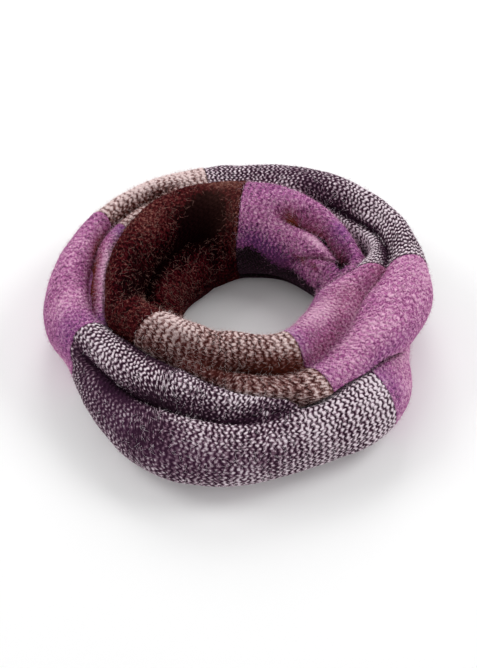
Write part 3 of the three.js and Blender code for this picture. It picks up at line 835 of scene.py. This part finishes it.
def brushed_fibres(stretch, gauge, count, seed, reach):
    """Fine hairs that stand out of the brushed cloth, as narrow bent strips.

    A real hair is 0.04 mm thick. These are drawn about four times as thick, to show at all.
    """
    made = np.random.default_rng(seed)
    columns, rows = stretch.v.shape
    seen = (stretch.direction > HAIRS_FROM) & (stretch.direction < HAIRS_TO)
    shade = shades(stretch)
    # Few hairs are drawn where shade or near black is painted, and in creases.
    kept = np.clip(1 + 1.5 * shade["tone"] - 0.9 * shade["under"] - 0.4 * shade["crease"], 0, 1)
    column, row = np.nonzero(seen & (made.uniform(size=seen.shape) < kept))
    pick = made.integers(0, len(column), count)
    column, row = column[pick], row[pick]
    foot, normal = stretch.base[column, row], stretch.normal[column, row]
    spin = made.normal(size=(count, 3))
    along = np.cross(normal, spin)
    along /= np.linalg.norm(along, axis=1, keepdims=True)
    beside = np.cross(normal, along)
    length = made.uniform(0.5, 1.0, (count, 1, 1)) * reach
    height = made.uniform(0.10, 0.50, (count, 1, 1)) * reach
    curl = made.uniform(-0.5, 0.5, (count, 1, 1)) * reach
    step = np.linspace(0, 1, HAIR_POINTS)[None, :, None]
    line = (
        foot[:, None]
        + along[:, None] * length * step
        + normal[:, None] * height * np.sin(step * 2.2)
        + beside[:, None] * curl * step**2
    )
    width = gauge.fibre_width * (1 - 0.6 * step) / 2
    strips = np.stack([line - beside[:, None] * width, line + beside[:, None] * width], axis=1)
    strips[..., 2] = np.maximum(strips[..., 2], HAIR_LOWEST)
    mesh = bpy.data.meshes.new(stretch.name + "_fibres")
    bm = bmesh.new()
    bmesh.ops.create_grid(bm, x_segments=HAIR_POINTS - 1, y_segments=2 * count - 1, size=0.5)
    bm.verts.index_update()
    between = [f for f in bm.faces if min(v.index for v in f.verts) // HAIR_POINTS % 2 == 1]
    bmesh.ops.delete(bm, geom=between, context="FACES_ONLY")
    loose = [e for e in bm.edges if not e.link_faces]
    bmesh.ops.delete(bm, geom=loose, context="EDGES")
    bm.to_mesh(mesh)
    bm.free()
    mesh.vertices.foreach_set("co", strips.reshape(-1).astype(np.float32))
    mesh.update()
    return in_scene(stretch.name + "_fibres", mesh)


def length_property(name, description, metres):
    """A size setting."""
    return bpy.props.FloatProperty(
        name=name, description=description, default=metres, unit="LENGTH"
    )


def colour_property(name, description, colour):
    """A colour setting, from its sRGB hex."""
    return bpy.props.FloatVectorProperty(
        name=name, description=description, default=linear(colour), subtype="COLOR", size=3
    )


class ScarfGauge(bpy.types.PropertyGroup):
    """The knit's sizes."""

    wale_spacing: length_property("Wale spacing", "Width of one stitch, across the band", 0.0060)
    wave: length_property("Ridge wave", "How far each ridge swings to either side", 0.0009)
    ridge_height: length_property(
        "Ridge height", "How far the ridges stand above the gaps between them", 0.0014
    )
    unevenness: length_property(
        "Unevenness", "How far the soft cloth swells and sinks from stitch to stitch", 0.0005
    )
    cloth_thickness: length_property(
        "Cloth thickness", "Thickness of one layer of the knit", 0.0040
    )
    fibre_width: length_property(
        "Fibre width", "Width of one brushed hair, drawn thicker than it is", 0.00018
    )
    mesh_spacing: length_property(
        "Mesh spacing", "Distance between two points of the mesh where the cloth shows", 0.0012
    )


class ScarfColours(bpy.types.PropertyGroup):
    """The yarns' colours: each knit has a dark, a middle and a pale one."""

    # The dark and pale colours are partly the yarns' own and partly painted: paler on the ridges
    # for the light on them, darker in the gaps for the shade there.
    marl_dark: colour_property("Marl dark", "Aubergine yarn in the gaps", "#2a1023")
    marl_middle: colour_property("Marl middle", "The two yarns mixed", "#7d5f70")
    marl_pale: colour_property("Marl pale", "Pinkish white yarn on the ridges", "#eee0e8")
    marl_tint: colour_property("Marl tint", "Purple drift of the marl", "#4a2344")
    pink_dark: colour_property("Pink dark", "Plum shade in the gaps", "#5a2850")
    pink_middle: colour_property("Pink middle", "Orchid yarn", "#ae5c96")
    pink_pale: colour_property("Pink pale", "Light pink flecks", "#e8b6d2")
    pink_tint: colour_property("Pink tint", "Violet drift near seams and edges", "#5f3a8c")
    maroon_dark: colour_property("Maroon dark", "Near black maroon", "#0c0002")
    maroon_middle: colour_property("Maroon middle", "Maroon yarn", "#4c0e16")
    maroon_pale: colour_property("Maroon pale", "Tan fibres", "#9a6a5e")
    maroon_tint: colour_property("Maroon tint", "Brown drift at the top", "#573731")
    taupe_dark: colour_property("Taupe dark", "Brown in the gaps", "#371412")
    taupe_middle: colour_property("Taupe middle", "Pinkish taupe", "#8b625f")
    taupe_pale: colour_property("Taupe pale", "Cream ridges", "#ead2d0")
    # Painted shade: this red brown is painted with the darkening under the taupe's roll.
    taupe_tint: colour_property("Taupe tint", "Red brown under the roll", "#45100f")
    # Painted shade: the orange brown painted into the bottoms of creases and along valleys.
    rust: colour_property("Rust", "Orange brown in the bottom of creases", "#7a3318")


class ScarfStage(bpy.types.PropertyGroup):
    """The studio."""

    floor_colour: colour_property("Floor", "Colour of the floor", "#f6f6f6")
    sky: bpy.props.FloatProperty(
        name="Soft light", description="Strength of the light from all round", default=0.56
    )
    lamp_power: bpy.props.FloatProperty(
        name="Lamp power", description="Power of each soft lamp", default=10.0, unit="POWER"
    )


def yarns_and_finish(family):
    """A knit's dark, middle, pale and tint colours with the orange brown of its painted crease
    shade, and its finish by name.
    """
    colours = bpy.context.scene.scarf_colours
    parts = ("dark", "middle", "pale", "tint")
    yarns = [tuple(getattr(colours, f"{family}_{part}")) for part in parts]
    return [*yarns, tuple(colours.rust)], dict(zip(FINISH_PARTS, FINISHES[family]))


def dress(names, family):
    """Knits several stretches in one yarn and puts them in place of their CAD solids."""
    gauge = bpy.context.scene.scarf_gauge
    yarns, finish = yarns_and_finish(family)
    material = knit_material(f"{family}_brushed_knit", yarns, gauge, finish)
    hair = fibre_material(f"{family}_brushed_fibre", yarns[2])
    for name in names:
        stretch = Stretch(name, gauge, finish["course"])
        piece = knitted_wall(stretch, gauge)
        piece.data.materials.append(material)
        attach(piece, BODY)
        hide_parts(name)
        count = round(finish["fibres"] * stretch.length)
        fibres = brushed_fibres(stretch, gauge, count, HAIR_SEED + len(name), HAIR_REACH)
        fibres.data.materials.append(hair)
        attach(fibres, BODY)


class SCARF_OT_marl(bpy.types.Operator):
    """Knits the two marl stretches, at the front and at the back right."""

    bl_idname = "scarf.marl"
    bl_label = "Marl stretches"

    def execute(self, context):
        dress(["marl_front", "marl_back"], "marl")
        return {"FINISHED"}


class SCARF_OT_pink(bpy.types.Operator):
    """Knits the four pink stretches, at the right and the left of both turns."""

    bl_idname = "scarf.pink"
    bl_label = "Pink stretches"

    def execute(self, context):
        names = ["pink_right_under", "pink_back_inner", "pink_right_over", "pink_left"]
        dress(names, "pink")
        return {"FINISHED"}


class SCARF_OT_maroon(bpy.types.Operator):
    """Knits the maroon stretch, round the back and left of the inner turn."""

    bl_idname = "scarf.maroon"
    bl_label = "Maroon stretch"

    def execute(self, context):
        dress(["maroon_inner"], "maroon")
        return {"FINISHED"}


class SCARF_OT_taupe(bpy.types.Operator):
    """Knits the two taupe stretches, at the front of the inner turn and the back left."""

    bl_idname = "scarf.taupe"
    bl_label = "Taupe stretches"

    def execute(self, context):
        dress(["taupe_front_inner", "taupe_back_left"], "taupe")
        return {"FINISHED"}


class SCARF_OT_inner_layers(bpy.types.Operator):
    """Makes the cloth that is rolled up inside the band, out of sight, all round the loop."""

    bl_idname = "scarf.inner_layers"
    bl_label = "Inner layers"

    def execute(self, context):
        gauge = context.scene.scarf_gauge
        angle = np.linspace(FIRST_ANGLE, FIRST_ANGLE + LOOP_ANGLE, LAYER_COLUMNS)[:, None]
        direction = np.linspace(0, 360, LAYER_ROWS)[None, :]
        angle, direction = np.broadcast_arrays(angle, direction)
        section = Section(angle)
        # They lie clear of two thicknesses of the band's cloth.
        clear = gauge.cloth_thickness * 1000 * 2 + 3.5
        reach = section.reach(direction) - section.fold_depth(direction) - clear
        place = section.point(np.maximum(reach, 4), direction)
        length = np.linalg.norm(np.diff(place[:, 0], axis=0), axis=1).sum()
        along = (angle - FIRST_ANGLE) / LOOP_ANGLE * length
        uv = np.stack([along, direction / 360 * 0.15], axis=-1)
        mesh = grid_mesh("rolled_layers", place, uv)
        bm = bmesh.new()
        bm.from_mesh(mesh)
        bmesh.ops.remove_doubles(bm, verts=bm.verts[:], dist=1e-5)
        if bm.calc_volume(signed=True) < 0:
            bmesh.ops.reverse_faces(bm, faces=bm.faces[:])
        bm.to_mesh(mesh)
        bm.free()
        mesh.shade_smooth()
        piece = in_scene("rolled_layers", mesh)
        wall = piece.modifiers.new("wall", "SOLIDIFY")
        wall.thickness = 0.003
        wall.offset = -1
        yarns, finish = yarns_and_finish("marl")
        piece.data.materials.append(knit_material("hidden_brushed_knit", yarns, gauge, finish))
        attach(piece, BODY)
        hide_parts("hidden_layers")
        return {"FINISHED"}


class SCARF_OT_stage(bpy.types.Operator):
    """Sets up the pale floor, the soft studio light and the photograph's camera."""

    bl_idname = "scarf.stage"
    bl_label = "Stage"

    def execute(self, context):
        scene, stage = context.scene, context.scene.scarf_stage
        bm = bmesh.new()
        bmesh.ops.create_grid(bm, x_segments=1, y_segments=1, size=FLOOR_SIZE)
        mesh = bpy.data.meshes.new("floor")
        bm.to_mesh(mesh)
        bm.free()
        floor = in_scene("floor", mesh)
        # Matt white paper: an even pale ground that takes soft shadows and has no shine.
        material = bpy.data.materials.new("matt_white_paper")
        material.use_nodes = True
        shader = material.node_tree.nodes["Principled BSDF"]
        shader.inputs["Base Color"].default_value = (*stage.floor_colour, 1)
        shader.inputs["Roughness"].default_value = 0.9
        shader.inputs["Specular IOR Level"].default_value = 0.1
        mesh.materials.append(material)

        world = bpy.data.worlds.new("studio")
        world.use_nodes = True
        background = world.node_tree.nodes["Background"]
        background.inputs["Color"].default_value = (1, 1, 1, 1)
        background.inputs["Strength"].default_value = stage.sky
        scene.world = world
        scene.view_settings.view_transform = "Standard"

        # Large soft lamps stand low all round, so that little light falls into the opening.
        for name, azimuth, elevation, share in LAMPS:
            lamp = bpy.data.lights.new(name, "AREA")
            lamp.shape = "DISK"
            lamp.size = LAMP_SIZE
            lamp.energy = stage.lamp_power * share
            turned, height = math.radians(azimuth), math.radians(elevation)
            away = Vector((math.cos(turned), math.sin(turned), math.tan(height)))
            lamp_object = in_scene(name, lamp)
            lamp_object.location = away * LAMP_DISTANCE
            lamp_object.rotation_euler = (-away).to_track_quat("-Z", "Y").to_euler()

        elevation = math.radians(CAMERA_ELEVATION)
        away = Vector((0, -math.cos(elevation), math.sin(elevation)))
        target = Vector((RING_ORIGIN + CAMERA_TARGET) / 1000)
        camera = bpy.data.cameras.new("camera")
        camera.sensor_fit = "VERTICAL"
        camera.sensor_height = 36
        camera.lens = CAMERA_LENS
        eye = in_scene("camera", camera)
        eye.location = target + CAMERA_DISTANCE * away
        eye.rotation_euler = (target - eye.location).to_track_quat("-Z", "Y").to_euler()
        scene.camera = eye
        return {"FINISHED"}


OPERATORS = (
    SCARF_OT_marl,
    SCARF_OT_pink,
    SCARF_OT_maroon,
    SCARF_OT_taupe,
    SCARF_OT_inner_layers,
    SCARF_OT_stage,
)


class SCARF_PT_pieces(bpy.types.Panel):
    """Lists the scarf's sizes, colours and pieces."""

    bl_idname = "SCARF_PT_pieces"
    bl_label = "Infinity scarf"
    bl_space_type = "VIEW_3D"
    bl_region_type = "UI"
    bl_category = "Scarf"

    def draw(self, context):
        layout = self.layout
        for settings in (
            context.scene.scarf_gauge,
            context.scene.scarf_colours,
            context.scene.scarf_stage,
        ):
            box = layout.box()
            for name in settings.__annotations__:
                box.prop(settings, name)
        for operator in OPERATORS:
            layout.operator(operator.bl_idname)


CLASSES = (ScarfGauge, ScarfColours, ScarfStage, *OPERATORS, SCARF_PT_pieces)


def register():
    for made in CLASSES:
        bpy.utils.register_class(made)
    bpy.types.Scene.scarf_gauge = bpy.props.PointerProperty(type=ScarfGauge)
    bpy.types.Scene.scarf_colours = bpy.props.PointerProperty(type=ScarfColours)
    bpy.types.Scene.scarf_stage = bpy.props.PointerProperty(type=ScarfStage)


def unregister():
    del bpy.types.Scene.scarf_stage
    del bpy.types.Scene.scarf_colours
    del bpy.types.Scene.scarf_gauge
    for made in reversed(CLASSES):
        bpy.utils.unregister_class(made)


def main():
    register()
    bpy.ops.scarf.stage()
    bpy.ops.scarf.marl()
    bpy.ops.scarf.pink()
    bpy.ops.scarf.maroon()
    bpy.ops.scarf.taupe()
    bpy.ops.scarf.inner_layers()


if __name__ == "__main__":
    main()
